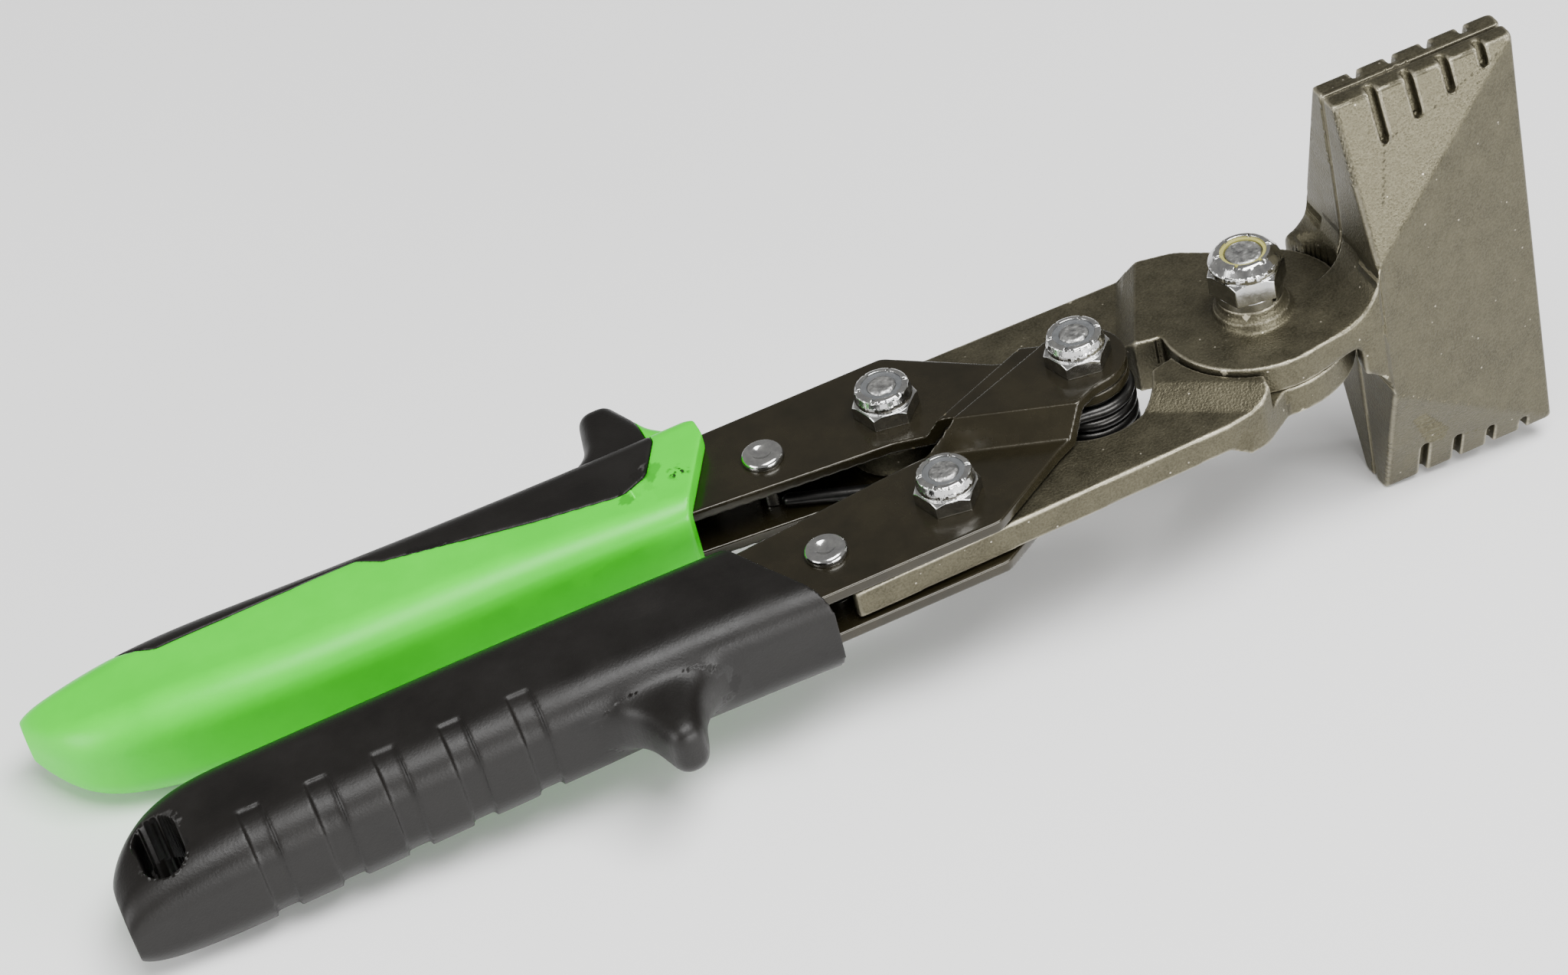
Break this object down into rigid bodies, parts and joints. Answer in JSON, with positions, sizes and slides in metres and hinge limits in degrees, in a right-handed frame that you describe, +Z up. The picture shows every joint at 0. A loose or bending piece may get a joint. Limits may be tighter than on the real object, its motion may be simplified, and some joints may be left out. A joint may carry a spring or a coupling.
{
  "type": "hand seamer",
  "caption": "Straight-jaw sheet-metal hand seamer: wide flat folding blades with depth slots on spring-loaded compound-lever handles with guarded grips.",
  "frame": {"origin": "bottom centre of the tool's box, with the blades standing on their lower side edges and the jaws and handles closed", "axes": "+X from the handles towards the blades, along the closed tool; +Y towards the green handle; +Z up, along the pivot pins"},
  "size_m": [0.2536, 0.0814, 0.0794],
  "materials": {
    "forged_jaw": "shot-blasted forged steel with a bronze-grey coating, satin",
    "lacquered_plate": "stamped steel with dark olive lacquer, glossy",
    "zinc_plate": "bright zinc plating",
    "nylon_clear": "translucent grey nylon locking ring",
    "nylon_amber": "yellowish nylon locking ring",
    "green_plastic": "lime green moulded grip, satin gloss",
    "black_rubber": "black soft moulded grip, satin",
    "black_steel": "black oxide spring steel"
  },
  "bodies": {
    "far_jaw": {"far_jaw": "forged_jaw", "pivot_bolt": "zinc_plate", "pivot_nut": "zinc_plate", "pivot_nut_insert": "nylon_amber", "lock_washer": "zinc_plate"},
    "near_jaw": {"near_jaw": "forged_jaw"},
    "green_handle": {"green_top_plate": "lacquered_plate", "green_bottom_plate": "lacquered_plate", "green_frame_rivet": "zinc_plate", "green_link_bolt": "zinc_plate", "green_link_nut": "zinc_plate", "green_link_nut_insert": "nylon_clear", "green_grip": "green_plastic", "green_grip_pad": "black_rubber"},
    "black_handle": {"black_top_plate": "lacquered_plate", "black_bottom_plate": "lacquered_plate", "black_frame_rivet": "zinc_plate", "black_link_bolt": "zinc_plate", "black_link_nut": "zinc_plate", "black_link_nut_insert": "nylon_clear", "black_grip": "black_rubber", "handle_pivot_bolt": "zinc_plate", "handle_pivot_nut": "zinc_plate", "handle_pivot_nut_insert": "nylon_clear", "spring_sleeve": "black_steel", "return_spring": "black_steel"}
  },
  "joints": [
    {"name": "jaw_open", "type": "hinge", "parent": "far_jaw", "child": "near_jaw", "pos_m": [0.07815, -0.00294, 0.0397], "axis": [0, 0, -1], "range_deg": [0, 17], "deforming": ["return_spring"]},
    {"name": "green_swing", "type": "hinge", "parent": "near_jaw", "child": "green_handle", "pos_m": [0.01865, 0.00956, 0.0397], "axis": [0, 0, -1], "range_deg": [0, 10.1]},
    {"name": "black_swing", "type": "hinge", "parent": "far_jaw", "child": "black_handle", "pos_m": [0.01865, -0.01544, 0.0397], "axis": [0, 0, 1], "range_deg": [0, 10.1]}
  ],
  "couplings": [
    {"joint": "green_swing", "follows": "jaw_open", "ratio": 0.59364},
    {"joint": "black_swing", "follows": "jaw_open", "ratio": 0.59364}
  ]
}
